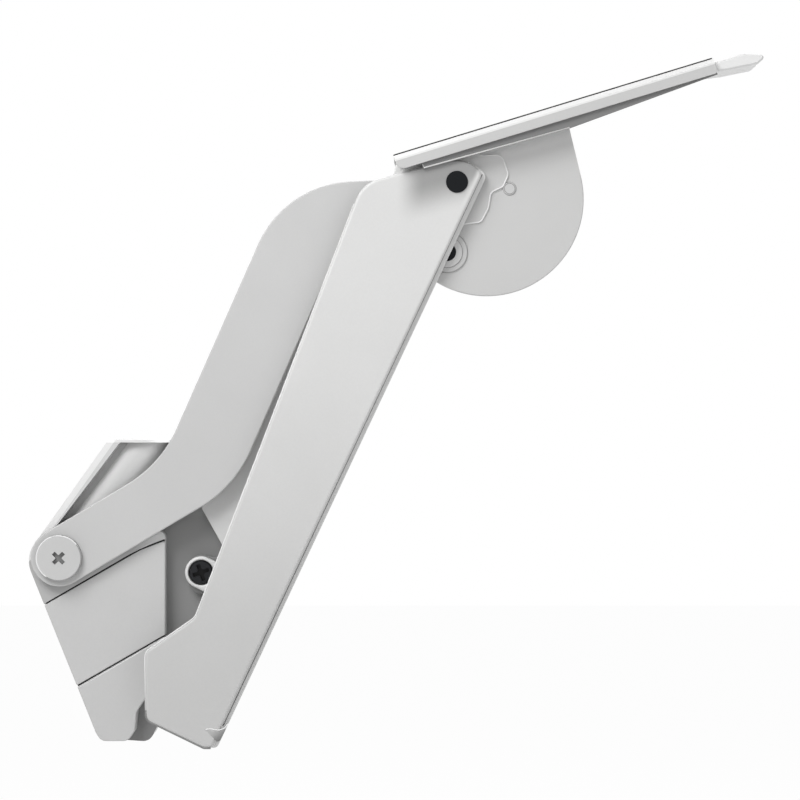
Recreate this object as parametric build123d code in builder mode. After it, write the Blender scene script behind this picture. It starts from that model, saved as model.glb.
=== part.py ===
"""Lift-up flap fitting: a cabinet-side housing, a covered main arm, a bent guide link and a
flap bracket.

Millimetres, +Z up. The mounting plane against the cabinet side is Y = 0 and the fitting stands
on its -Y side. The origin is where the main arm's pivot axis meets that plane. +X points out of
the cabinet. The arm is modelled open, with the flap lifted.
"""
from build123d import *
import os
from math import atan2, cos, degrees, hypot, radians, sin

os.makedirs("parts", exist_ok=True)

# Running and seating clearances
RUN_GAP = 0.06
SEAT_GAP = 0.02
LAY_GAP = 0.3

# Pivots, in the view from the front, as (X, Z)
LINK_PIVOT = (-52.6, 5.9)
ARM_PIVOT = (0.0, 0.0)
BRACKET_PIVOT = (96.1, 145.8)
GUIDE_PIN_AT = (92.5, 120.2)

# Travel from open to closed, in degrees
ARM_TRAVEL = 112.0
FLAP_TRAVEL = 106.9

# Depths from the mounting plane towards the viewer
PLATE_T = 2.0
FLOOR_BACK = 14.3
FLOOR_FRONT = 16.3
BLOCK_FRONT = 21.2
SKIN_T = 2.0
RIM_FRONT = BLOCK_FRONT + SKIN_T
LEVER_BACK = 17.5
LEVER_T = 3.0
LINK_BACK = 24.0
LINK_T = 3.0
EAR_BACK = LINK_BACK + LINK_T + 0.6
EAR_T = 2.0
TRAY_BACK = 31.2
TRAY_T = 1.6
COVER_BACK = TRAY_BACK + TRAY_T
COVER_FRONT = 36.0

# Housing
SHELL_WALL = 2.2
TOP_RIM_W = 1.0
RIM_TILT = 53.4
TOP_Z = 50.0
TOP_RIM_END = -2.0
FOOT_Z = -63.4
BLOCK_RIGHT = -13.4
BLOCK_TOP = 15.7
BLOCK_STEP = -21.0
WING_RIGHT = 16.0
FIXING_X = -8.0
FIXING_PITCH = 64.0
FIXING_HOLE_R = 2.6
FIXING_WELL_R = 5.6

# Pivot hardware
POST_R = 4.0
POST_FOOT_R = 6.5
POST_FOOT_T = 1.6
POST_TAIL_R = 3.0
POST_SLEEVE_R = 5.6
LINK_HUB_R = 5.2
HUB_WELL_R = 6.3
BOLT_HEAD_R = 8.6
BOLT_HEAD_T = 2.0
THREAD_R = 2.5
COLLAR_R = 6.05
COLLAR_WELL_R = 5.9
COLLAR_BORE_R = 4.8
COLLAR_T = 2.1
ARM_SCREW_R = 4.4
UPPER_PIN_R = 3.5
UPPER_PIN_HEAD_R = 4.05
UPPER_SPACER_R = 4.8
UPPER_WASHER_R = 6.2
GUIDE_PIN_R = 2.5
GUIDE_PIN_HEAD_R = 3.4
GUIDE_PIN_FLANGE_R = 5.6
GUIDE_PIN_FLANGE_T = 1.1
GUIDE_WASHER_R = (7.6, 5.7)
GUIDE_WASHER_T = (0.45, 0.5)

# Link and cam
LINK_END_R = 10.8
LINK_LOW_TILT = 30.7
LINK_TIP_R = 7.2
SLOT_R = 4.2
SPRING_DEPTH = 12.6
CAM_T = 3.4
CAM_ROOT_R = 6.4
SPRING_STROKE = 3.6
NOSE_R = 2.5
CHEEK_T = 1.4
CHEEK_GAP = 0.2
CAM_ROOM_R = 10.9

# Spring pack
TUBE_R = 7.5
TUBE_WALL = 0.7
TUBE_START = 15.5
TUBE_END = 45.0
SEAT_T = 3.0
BARREL_R = 8.5
BARREL_START = 13.0
BARREL_END = 60.0
PISTON_START = 13.6
PISTON_L = 9.5
SPRING_R = 5.9
SPRING_WIRE_R = 0.8
SPRING_TURNS = 8

# Bracket, measured along and below its mounting face
BRACKET_TILT = 16.93
BRACKET_START = (72.4, 155.7)
BRACKET_L = 123.5
BRACKET_FRONT = 38.6
BRACKET_BACK = 6.0
BRACKET_PLATE_T = 1.8
BRACKET_WALL_H = 6.1
BRACKET_WALL_T = 1.0
BRACKET_TIP_W = 11.0
EAR_R = 36.2
EAR_CENTRE = (107.4, 140.0)


def turn(point, angle, about=(0.0, 0.0)):
    """Turn a front-view point anticlockwise about another, in degrees."""
    c, s = cos(radians(angle)), sin(radians(angle))
    x, z = point[0] - about[0], point[1] - about[1]
    return (about[0] + x * c - z * s, about[1] + x * s + z * c)


def guide_pin_at(share):
    """The guide pin's place when the given share of the closing travel is done."""
    flap = turn(GUIDE_PIN_AT, -FLAP_TRAVEL * share, BRACKET_PIVOT)
    upper = turn(BRACKET_PIVOT, -ARM_TRAVEL * share, ARM_PIVOT)
    return (flap[0] + upper[0] - BRACKET_PIVOT[0], flap[1] + upper[1] - BRACKET_PIVOT[1])


def bearing(start, end):
    """The direction from one front-view point to another, in degrees."""
    return degrees(atan2(end[1] - start[1], end[0] - start[0]))


CHORD = bearing(LINK_PIVOT, GUIDE_PIN_AT)
LINK_TRAVEL = CHORD - bearing(LINK_PIVOT, guide_pin_at(1.0))
SLOT_SHARES = [step / 8 for step in range(9)]


def in_link(share):
    """The guide pin's place on the link, as the link lies when open."""
    return turn(guide_pin_at(share), LINK_TRAVEL * share, LINK_PIVOT)


SLOT_PATH = [in_link(share) for share in SLOT_SHARES]
SLOT_FAR = max(SLOT_PATH, key=lambda p: hypot(p[0] - LINK_PIVOT[0], p[1] - LINK_PIVOT[1]))


def on_link(along, aside):
    """A front-view point given along and left of the line from the link's pivot to its pin."""
    c, s = cos(radians(CHORD)), sin(radians(CHORD))
    return (LINK_PIVOT[0] + along * c - aside * s, LINK_PIVOT[1] + along * s + aside * c)


def on_bracket(along, below):
    """A front-view point along the bracket's mounting face and below it."""
    c, s = cos(radians(BRACKET_TILT)), sin(radians(BRACKET_TILT))
    return (BRACKET_START[0] + along * c + below * s, BRACKET_START[1] + along * s - below * c)


def layer(depth):
    """A front-view plane at a depth; its normal points at the viewer."""
    return Plane(origin=(0, -depth, 0), x_dir=(1, 0, 0), z_dir=(0, -1, 0))


def spring_plane(distance):
    """A plane across the spring's axis, at a distance from the link's pivot."""
    return Plane(
        origin=(LINK_PIVOT[0] + WALL_DIR[0] * distance, -SPRING_DEPTH,
                LINK_PIVOT[1] + WALL_DIR[1] * distance),
        x_dir=(0, -1, 0), z_dir=(WALL_DIR[0], 0, WALL_DIR[1]))


def save(built, label):
    """Label a finished piece and write its file."""
    built.part.label = label
    export_step(built.part, f"parts/{label}.step")


# Housing outlines
WALL_DIR = (cos(radians(RIM_TILT)), sin(radians(RIM_TILT)))
HOUSING_LEFT = [(-34.8, TOP_Z), (-66.1, 5.9), (-39.6, -60.0), (-37.6, FOOT_Z)]
HOUSING_LEFT_R = [3.0, 11.0, 0.0, 3.5]


def left_edge(height):
    """The point of the housing's lower left edge at a height."""
    upper, lower = HOUSING_LEFT[1], HOUSING_LEFT[2]
    share = (height - upper[1]) / (lower[1] - upper[1])
    return (upper[0] + (lower[0] - upper[0]) * share, height)


WING = [(-20.0, -64.6), (-16.5, -57.5), (WING_RIGHT, -18.0), (WING_RIGHT, 8.0), (6.0, TOP_Z)]
WING_R = [4.0, 2.0, 9.0, 12.0, 3.0]
BASE_OUTLINE = HOUSING_LEFT + WING
BASE_R = HOUSING_LEFT_R + WING_R
SEAM_TOP = [left_edge(-11.8), (-22.8, 9.0), (BLOCK_RIGHT, 12.4)]
SEAM_LOW = [left_edge(-42.5), (BLOCK_RIGHT, -23.4)]
SEAM_GAP = 0.35

# Base plate, with the pivot posts' holes and two fixing holes
with BuildPart() as base_plate:
    with BuildSketch(layer(0)):
        with BuildLine():
            FilletPolyline(*BASE_OUTLINE, radius=BASE_R, close=True)
        make_face()
        offset(amount=-0.6)
    extrude(amount=PLATE_T)
    with BuildSketch(layer(0)):
        with Locations(LINK_PIVOT, ARM_PIVOT):
            Circle(POST_TAIL_R)
        with Locations((FIXING_X, FIXING_PITCH / 2), (FIXING_X, -FIXING_PITCH / 2)):
            Circle(FIXING_HOLE_R)
    extrude(amount=PLATE_T, mode=Mode.SUBTRACT)
save(base_plate, "base_plate")


def post(label, at, top):
    """A turned pivot post, riveted into the base plate, with a threaded hole for its screw."""
    with BuildPart() as built:
        with BuildSketch(layer(PLATE_T)):
            with Locations(at):
                Circle(POST_FOOT_R)
        extrude(amount=POST_FOOT_T)
        with BuildSketch(layer(0)):
            with Locations(at):
                Circle(POST_TAIL_R - SEAT_GAP)
        extrude(amount=PLATE_T)
        with BuildSketch(layer(PLATE_T)):
            with Locations(at):
                Circle(POST_R)
        extrude(amount=top - PLATE_T)
        with BuildSketch(layer(top)):
            with Locations(at):
                Circle(THREAD_R + SEAT_GAP)
        extrude(amount=-(top - PLATE_T - 1.0), mode=Mode.SUBTRACT)
    save(built, label)


LINK_POST_TOP = LINK_BACK + LINK_T + 0.1
ARM_POST_TOP = LEVER_BACK + LEVER_T + 0.05
post("link_pivot_post", LINK_PIVOT, LINK_POST_TOP)
post("main_pivot_post", ARM_PIVOT, ARM_POST_TOP)


def cross_recess(size, width):
    """Sketch a cross recess of two bars with a small centre."""
    Rectangle(size, width)
    Rectangle(width, size)
    Rectangle(size * 0.45, size * 0.45, rotation=45)


def pivot_screw(label, at, seat, head_r, head_t, shank_l, recess, recess_d, recess_turn):
    """A flat-headed screw with a cross recess, its shank in the post below it."""
    with BuildPart() as built:
        with BuildSketch(layer(seat)):
            with Locations(at):
                Circle(head_r)
        extrude(amount=head_t)
        edge_ring = built.faces().sort_by(Axis.Y)[0].edges()
        chamfer(edge_ring, length=0.3)
        with BuildSketch(layer(seat)):
            with Locations(at):
                Circle(THREAD_R)
        extrude(amount=-shank_l)
        with BuildSketch(layer(seat + head_t)):
            with Locations(Location((at[0], at[1], 0), (0, 0, recess_turn))):
                cross_recess(*recess)
        extrude(amount=-recess_d, mode=Mode.SUBTRACT)
    save(built, label)


pivot_screw("link_pivot_bolt", LINK_PIVOT, LINK_POST_TOP, BOLT_HEAD_R, BOLT_HEAD_T, 10.0,
            (5.4, 1.5), 1.3, 45)
pivot_screw("main_pivot_screw", ARM_PIVOT, ARM_POST_TOP, ARM_SCREW_R, 1.8, 9.0,
            (6.4, 1.5), 1.1, 20)

# Below this line the body is solid behind the foot
SOLID_TOP = -28.0
SOLID_REACH = 80.0

# Housing shell: a floor with a raised block, a raised rim and an open spring pocket
POCKET = [
    (-30.5, TOP_Z - TOP_RIM_W), (-60.4, 9.6), (-50.0, 9.0), (-22.0, 18.0),
    (BLOCK_RIGHT - 1.5, 24.0), (-6.0, 30.0), (4.0, TOP_Z - TOP_RIM_W),
]
with BuildPart() as housing_shell:
    with BuildSketch(layer(PLATE_T)):
        with BuildLine():
            FilletPolyline(*BASE_OUTLINE, radius=BASE_R, close=True)
        make_face()
    extrude(amount=FLOOR_FRONT - PLATE_T)
    with BuildSketch(layer(FLOOR_FRONT)):
        with BuildLine():
            FilletPolyline(
                *HOUSING_LEFT[:2], SEAM_LOW[0], SEAM_LOW[1], (BLOCK_RIGHT, BLOCK_TOP),
                (BLOCK_STEP, BLOCK_TOP), (BLOCK_STEP, TOP_Z),
                radius=HOUSING_LEFT_R[:2] + [0, 0, 2.6, 0, 0], close=True)
        make_face()
    extrude(amount=BLOCK_FRONT - FLOOR_FRONT)
    with BuildSketch(layer(BLOCK_FRONT)):
        with BuildLine():
            FilletPolyline(
                *HOUSING_LEFT[:2], SEAM_TOP[0], SEAM_TOP[1], SEAM_TOP[2],
                (BLOCK_RIGHT, BLOCK_TOP), (BLOCK_STEP, BLOCK_TOP), (BLOCK_STEP, TOP_Z),
                radius=HOUSING_LEFT_R[:2] + [0, 14.0, 0, 2.6, 0, 0], close=True)
        make_face()
    extrude(amount=SKIN_T)
    with BuildSketch(layer(FLOOR_FRONT)):
        with BuildLine():
            Polyline((-22.0, TOP_Z), (TOP_RIM_END, TOP_Z), (TOP_RIM_END, TOP_Z - TOP_RIM_W),
                     (-22.0, TOP_Z - TOP_RIM_W), close=True)
        make_face()
    extrude(amount=RIM_FRONT - 0.2 - FLOOR_FRONT)
    with BuildSketch(layer(RIM_FRONT)):
        with BuildLine():
            FilletPolyline(*POCKET, radius=[1.2, 3.0, 6.0, 6.0, 2.0, 6.0, 1.2], close=True)
        make_face()
    extrude(amount=-(RIM_FRONT - FLOOR_FRONT), mode=Mode.SUBTRACT)
    with BuildSketch(layer(PLATE_T)):
        with BuildLine():
            FilletPolyline(*BASE_OUTLINE, radius=BASE_R, close=True)
        make_face()
        offset(amount=-SHELL_WALL)
        with BuildLine():
            Polyline((-SOLID_REACH, SEAM_LOW[0][1]), (FIXING_X - 12.0, SOLID_TOP),
                     (SOLID_REACH, SOLID_TOP), (SOLID_REACH, -SOLID_REACH),
                     (-SOLID_REACH, -SOLID_REACH), close=True)
        make_face(mode=Mode.SUBTRACT)
    extrude(amount=FLOOR_BACK - PLATE_T, mode=Mode.SUBTRACT)
    with BuildSketch(layer(FLOOR_BACK)):
        with BuildLine():
            FilletPolyline(
                *HOUSING_LEFT[:2], SEAM_LOW[0], SEAM_LOW[1], (BLOCK_RIGHT, BLOCK_TOP),
                (BLOCK_STEP, BLOCK_TOP), (-50.0, 8.0),
                radius=HOUSING_LEFT_R[:2] + [0, 0, 2.6, 0, 0], close=True)
        make_face()
        offset(amount=-SHELL_WALL)
    extrude(amount=BLOCK_FRONT - 1.8 - FLOOR_BACK, mode=Mode.SUBTRACT)
    with BuildSketch(spring_plane(BARREL_START)):
        Circle(BARREL_R)
    extrude(amount=BARREL_END - BARREL_START)
    with BuildSketch(layer(0)):
        with Locations((0, TOP_Z + BARREL_R)):
            Rectangle(4 * BARREL_END, 2 * BARREL_R)
    extrude(amount=RIM_FRONT, mode=Mode.SUBTRACT)
    with BuildSketch(layer(PLATE_T)):
        with Locations(LINK_PIVOT):
            Circle(CAM_ROOM_R)
    extrude(amount=SPRING_DEPTH + 4.0 - PLATE_T, mode=Mode.SUBTRACT)
    with BuildSketch(spring_plane(CAM_ROOT_R)):
        Circle(TUBE_R + SEAT_GAP)
    extrude(amount=TUBE_END - CAM_ROOT_R + SEAT_GAP, mode=Mode.SUBTRACT)
    with BuildSketch(layer(PLATE_T)):
        with Locations(ARM_PIVOT):
            Circle(COLLAR_WELL_R)
        with Locations(LINK_PIVOT):
            Circle(HUB_WELL_R)
        with Locations((FIXING_X, FIXING_PITCH / 2), (FIXING_X, -FIXING_PITCH / 2)):
            Circle(FIXING_WELL_R)
    extrude(amount=RIM_FRONT, mode=Mode.SUBTRACT)
save(housing_shell, "housing_shell")


# Smooth cover plate between the two seams; it is bare
with BuildPart() as housing_cover:
    with BuildSketch(layer(BLOCK_FRONT)):
        with BuildLine():
            FilletPolyline(
                (SEAM_TOP[0][0] + 0.1, SEAM_TOP[0][1] - SEAM_GAP), (SEAM_LOW[0][0], SEAM_LOW[0][1]),
                SEAM_LOW[1], (SEAM_TOP[2][0], SEAM_TOP[2][1] - SEAM_GAP),
                (SEAM_TOP[1][0], SEAM_TOP[1][1] - SEAM_GAP),
                radius=[0.6, 0.6, 0.6, 0.6, 14.0], close=True)
        make_face()
    extrude(amount=SKIN_T)
    chamfer(housing_cover.faces().sort_by(Axis.Y)[0].edges(), length=0.25)
save(housing_cover, "housing_cover")

# Lower foot: a hollow moulded cap over the bottom of the base plate
FOOT_FRONT = [
    (SEAM_LOW[0][0] + 0.15, SEAM_LOW[0][1] - SEAM_GAP), (-39.6, -60.0), (-37.6, FOOT_Z),
    (-27.4, FOOT_Z), (-24.8, -59.5), (-24.2, -52.4), (-20.5, -46.8),
    (BLOCK_RIGHT, -30.0), (BLOCK_RIGHT, SEAM_LOW[1][1] - SEAM_GAP),
]
with BuildPart() as lower_foot:
    with BuildSketch(layer(FLOOR_FRONT + SEAT_GAP)):
        with BuildLine():
            FilletPolyline(*FOOT_FRONT, radius=[0.5, 0, 3.5, 3.5, 3.0, 3.0, 3.0, 2.0, 0.5],
                           close=True)
        make_face()
    extrude(amount=RIM_FRONT - FLOOR_FRONT - SEAT_GAP)
    chamfer(lower_foot.faces().sort_by(Axis.Y)[0].edges(), length=0.3)
    with BuildSketch(layer(FLOOR_FRONT + SEAT_GAP)):
        with BuildLine():
            FilletPolyline(*FOOT_FRONT, radius=[0.5, 0, 3.5, 3.5, 3.0, 3.0, 3.0, 2.0, 0.5],
                           close=True)
        make_face()
        offset(amount=-SHELL_WALL)
    extrude(amount=RIM_FRONT - FLOOR_FRONT - SKIN_T, mode=Mode.SUBTRACT)
save(lower_foot, "lower_foot")

# Spring tube, its end seat, the spring, and the piston with its cam nose
with BuildPart() as spring_tube:
    with BuildSketch(spring_plane(TUBE_START)):
        Circle(TUBE_R)
        Circle(TUBE_R - TUBE_WALL, mode=Mode.SUBTRACT)
    extrude(amount=TUBE_END - TUBE_START)
save(spring_tube, "spring_tube")

with BuildPart() as spring_seat:
    with BuildSketch(spring_plane(TUBE_END - SEAT_T)):
        Circle(TUBE_R - TUBE_WALL - SEAT_GAP)
    extrude(amount=SEAT_T)
    with BuildSketch(spring_plane(TUBE_END - SEAT_T - 3.0)):
        Circle(SPRING_R - SPRING_WIRE_R * 2 - 0.4)
    extrude(amount=3.0)
    chamfer(spring_seat.faces().sort_by(Axis(spring_plane(0).origin, spring_plane(0).z_dir))[0]
            .edges(), length=0.6)
save(spring_seat, "spring_seat")

SPRING_START = PISTON_START + PISTON_L + SEAT_GAP
SPRING_L = TUBE_END - SEAT_T - SEAT_GAP - SPRING_START
with BuildPart() as lift_spring:
    spring_end = spring_plane(SPRING_START + SPRING_WIRE_R)
    with BuildLine():
        coil = Helix(pitch=(SPRING_L - 2 * SPRING_WIRE_R) / SPRING_TURNS,
                     height=SPRING_L - 2 * SPRING_WIRE_R, radius=SPRING_R - SPRING_WIRE_R,
                     center=spring_end.origin, direction=spring_end.z_dir)
    with BuildSketch(Plane(origin=coil @ 0, z_dir=coil % 0)):
        RegularPolygon(SPRING_WIRE_R, 6)
    sweep(path=coil, is_frenet=True)
save(lift_spring, "lift_spring")

NOSE_AT = CAM_ROOT_R + NOSE_R
CHEEK_BACK = SPRING_DEPTH - CAM_T / 2 - CHEEK_GAP - CHEEK_T
with BuildPart() as spring_piston:
    with BuildSketch(spring_plane(PISTON_START)):
        Circle(TUBE_R - TUBE_WALL - RUN_GAP)
    extrude(amount=PISTON_L)
    with BuildSketch(spring_plane(NOSE_AT)):
        for side in (-1, 1):
            with Locations((side * (CAM_T / 2 + CHEEK_GAP + CHEEK_T / 2), 0)):
                Rectangle(CHEEK_T, NOSE_R * 2 - 0.8)
    extrude(amount=PISTON_START - NOSE_AT)
    for side in (-1, 1):
        with BuildSketch(layer(SPRING_DEPTH + side * (CAM_T / 2 + CHEEK_GAP))):
            with Locations((LINK_PIVOT[0] + WALL_DIR[0] * NOSE_AT,
                            LINK_PIVOT[1] + WALL_DIR[1] * NOSE_AT)):
                Circle(NOSE_R - 0.4)
        extrude(amount=side * CHEEK_T)
    with BuildSketch(layer(CHEEK_BACK)):
        with Locations((LINK_PIVOT[0] + WALL_DIR[0] * NOSE_AT,
                        LINK_PIVOT[1] + WALL_DIR[1] * NOSE_AT)):
            Circle(NOSE_R - 1.2 + SEAT_GAP)
    extrude(amount=CAM_T + 2 * (CHEEK_GAP + CHEEK_T), mode=Mode.SUBTRACT)
save(spring_piston, "spring_piston")

with BuildPart() as cam_nose:
    with BuildSketch(layer(SPRING_DEPTH - CAM_T / 2 - CHEEK_GAP / 2)):
        with Locations((LINK_PIVOT[0] + WALL_DIR[0] * NOSE_AT,
                        LINK_PIVOT[1] + WALL_DIR[1] * NOSE_AT)):
            Circle(NOSE_R)
    extrude(amount=CAM_T + CHEEK_GAP)
    with BuildSketch(layer(CHEEK_BACK)):
        with Locations((LINK_PIVOT[0] + WALL_DIR[0] * NOSE_AT,
                        LINK_PIVOT[1] + WALL_DIR[1] * NOSE_AT)):
            Circle(NOSE_R - 1.2)
    extrude(amount=CAM_T + 2 * (CHEEK_GAP + CHEEK_T))
save(cam_nose, "cam_nose")


def cam_point(share):
    """A point of the cam's flank that meets the nose when a share of the travel is done."""
    swing = radians(LINK_TRAVEL)
    rise = SPRING_STROKE / swing
    reach = NOSE_AT + SPRING_STROKE * share
    lead = radians(RIM_TILT) + swing * share
    across = hypot(reach, rise)
    inward = (NOSE_R + RUN_GAP) / across
    radial = reach - reach * inward
    sideways = rise * inward
    return (LINK_PIVOT[0] + radial * cos(lead) - sideways * sin(lead),
            LINK_PIVOT[1] + radial * sin(lead) + sideways * cos(lead))


# Link cam and hub sleeve, keyed to the guide link
with BuildPart() as link_cam:
    with BuildSketch(layer(SPRING_DEPTH - CAM_T / 2)):
        with BuildLine():
            flank = Spline(*[cam_point(step / 8) for step in range(-1, 10)])
            Polyline(flank @ 1, LINK_PIVOT, flank @ 0)
        make_face()
        with Locations(LINK_PIVOT):
            Circle(CAM_ROOT_R - RUN_GAP)
            Circle(LINK_HUB_R + SEAT_GAP, mode=Mode.SUBTRACT)
    extrude(amount=CAM_T)
save(link_cam, "link_cam")

with BuildPart() as link_hub:
    with BuildSketch(layer(PLATE_T + POST_FOOT_T + 0.1)):
        with Locations(LINK_PIVOT):
            Circle(LINK_HUB_R)
    extrude(amount=LINK_BACK + LINK_T - PLATE_T - POST_FOOT_T - 0.1)
    with BuildSketch(layer(PLATE_T + POST_FOOT_T + 0.1)):
        with Locations(LINK_PIVOT):
            Circle(POST_R + RUN_GAP)
    extrude(amount=LINK_BACK + LINK_T, mode=Mode.SUBTRACT)
save(link_hub, "link_hub")

# Bent guide link, with the long slot that the guide pin runs in
LINK_NECK = 179.0
LINK_SHOULDER = 197.0
LINK_OUTLINE = [
    turn((LINK_PIVOT[0] - LINK_END_R, LINK_PIVOT[1] + LINK_END_R), LINK_LOW_TILT, LINK_PIVOT),
    turn((LINK_PIVOT[0] - LINK_END_R, LINK_PIVOT[1] - LINK_END_R), LINK_LOW_TILT, LINK_PIVOT),
    (13.2, 32.5), (51.0, 119.0), on_link(LINK_NECK, -LINK_TIP_R),
    on_link(hypot(SLOT_FAR[0] - LINK_PIVOT[0], SLOT_FAR[1] - LINK_PIVOT[1]) + LINK_TIP_R,
            -LINK_TIP_R),
    on_link(hypot(SLOT_FAR[0] - LINK_PIVOT[0], SLOT_FAR[1] - LINK_PIVOT[1]) + LINK_TIP_R,
            LINK_TIP_R),
    on_link(LINK_SHOULDER, LINK_TIP_R), (83.0, 140.6), (70.0, 147.6), (31.6, 145.6), (-14.6, 41.0),
]
LINK_R = [LINK_END_R * 0.99, LINK_END_R * 0.99, 46.0, 20.0, 8.0, 7.0, 7.0, 6.0, 8.0, 8.0, 48.0, 47.0]
with BuildPart() as guide_link:
    with BuildSketch(layer(LINK_BACK)):
        with BuildLine():
            FilletPolyline(*LINK_OUTLINE, radius=LINK_R, close=True)
        make_face()
        with Locations(LINK_PIVOT):
            Circle(LINK_HUB_R + SEAT_GAP, mode=Mode.SUBTRACT)
        slot_mid = ((GUIDE_PIN_AT[0] + SLOT_FAR[0]) / 2, (GUIDE_PIN_AT[1] + SLOT_FAR[1]) / 2)
        with Locations(slot_mid):
            SlotCenterToCenter(
                hypot(SLOT_FAR[0] - GUIDE_PIN_AT[0], SLOT_FAR[1] - GUIDE_PIN_AT[1]),
                SLOT_R * 2, rotation=CHORD, mode=Mode.SUBTRACT)
    extrude(amount=LINK_T)
    chamfer(guide_link.faces().sort_by(Axis.Y)[0].outer_wire().edges(), length=0.3)
save(guide_link, "guide_link")

# Main pivot spacer on the post, behind the lever
with BuildPart() as main_pivot_spacer:
    with BuildSketch(layer(PLATE_T + POST_FOOT_T)):
        with Locations(ARM_PIVOT):
            Circle(POST_SLEEVE_R)
            Circle(POST_R + SEAT_GAP, mode=Mode.SUBTRACT)
    extrude(amount=LEVER_BACK - 0.1 - PLATE_T - POST_FOOT_T)
save(main_pivot_spacer, "main_pivot_spacer")

# Steel lift lever behind the link, with the lug collar round the main pivot
LEVER_OUTLINE = [
    (0.0, 24.3), (11.0, 4.6), (-2.0, 6.8), (-7.0, 0.0), (-3.4, -7.2), (8.0, -11.0), (19.0, 4.0),
    (31.0, 27.0), (84.0, 121.0), (107.0, 146.0), (95.0, 156.0), (80.0, 150.6), (56.0, 130.0),
    (8.0, 56.0),
]
LEVER_R = [1.0, 2.0, 4.0, 5.0, 4.0, 6.0, 8.0, 12.0, 20.0, 6.0, 6.0, 8.0, 20.0, 20.0]
with BuildPart() as lift_lever:
    with BuildSketch(layer(LEVER_BACK)):
        with BuildLine():
            FilletPolyline(*LEVER_OUTLINE, radius=LEVER_R, close=True)
        make_face()
        with Locations(ARM_PIVOT):
            Circle(POST_R + RUN_GAP, mode=Mode.SUBTRACT)
        with Locations(BRACKET_PIVOT):
            Circle(UPPER_PIN_R + SEAT_GAP, mode=Mode.SUBTRACT)
    extrude(amount=LEVER_T)
    chamfer(lift_lever.faces().sort_by(Axis.Y)[0].outer_wire().edges(), length=0.3)
save(lift_lever, "lift_lever")

LUG_TILT = -25.5
LUG_L = 5.6
with BuildPart() as pivot_collar:
    with BuildSketch(layer(LEVER_BACK + LEVER_T)):
        with Locations((LUG_L / 2 * cos(radians(LUG_TILT)), LUG_L / 2 * sin(radians(LUG_TILT)))):
            SlotCenterToCenter(LUG_L, COLLAR_R * 2, rotation=LUG_TILT)
    extrude(amount=COLLAR_T)
    fillet(pivot_collar.faces().sort_by(Axis.Y)[0].edges(), radius=0.7)
    with BuildSketch(layer(LEVER_BACK + LEVER_T)):
        Circle(COLLAR_BORE_R)
    extrude(amount=COLLAR_T, mode=Mode.SUBTRACT)
save(pivot_collar, "pivot_collar")

# Upper pivot pin, keyed in the lever and the cover, with its spacer and washer
with BuildPart() as upper_pivot_pin:
    with BuildSketch(layer(LEVER_BACK)):
        with Locations(BRACKET_PIVOT):
            Circle(UPPER_PIN_R)
    extrude(amount=COVER_FRONT - LEVER_BACK)
    with BuildSketch(layer(COVER_FRONT)):
        with Locations(BRACKET_PIVOT):
            Circle(UPPER_PIN_HEAD_R)
    extrude(amount=0.5)
    chamfer(upper_pivot_pin.faces().sort_by(Axis.Y)[0].edges(), length=0.2)
save(upper_pivot_pin, "upper_pivot_pin")


def ring(label, at, inner_r, outer_r, back, front):
    """A plain washer or spacer tube."""
    with BuildPart() as built:
        with BuildSketch(layer(back)):
            with Locations(at):
                Circle(outer_r)
                Circle(inner_r, mode=Mode.SUBTRACT)
        extrude(amount=front - back)
    save(built, label)


LATCH_T = 0.6
EAR_FRONT = EAR_BACK + EAR_T
ring("upper_pin_spacer", BRACKET_PIVOT, UPPER_PIN_R + SEAT_GAP, UPPER_SPACER_R,
     LEVER_BACK + LEVER_T, EAR_BACK - 0.15)
ring("upper_pin_washer", BRACKET_PIVOT, UPPER_PIN_R + SEAT_GAP, UPPER_WASHER_R,
     EAR_FRONT + LATCH_T + 0.15, TRAY_BACK)

# Arm tray and arm cover: a shallow back tray with a raised lip, and the smooth front cap
ARM_OUTLINE = [
    (60.9, 145.2), (-1.0, -15.6), (-19.6, -28.4), (-19.4, -53.2), (5.5, -65.6), (106.2, 148.8),
    (97.6, 155.6),
]
ARM_R = [12.0, 6.0, 4.0, 3.4, 3.2, 3.0, 6.0]
LIP_W = 1.3
with BuildPart() as arm_tray:
    with BuildSketch(layer(TRAY_BACK)):
        with BuildLine():
            FilletPolyline(*ARM_OUTLINE, radius=ARM_R, close=True)
        make_face()
        offset(amount=-0.3)
    extrude(amount=TRAY_T)
    with BuildSketch(layer(TRAY_BACK)):
        with Locations(BRACKET_PIVOT):
            Circle(UPPER_PIN_R + SEAT_GAP)
    extrude(amount=TRAY_T, mode=Mode.SUBTRACT)
save(arm_tray, "arm_tray")

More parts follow.
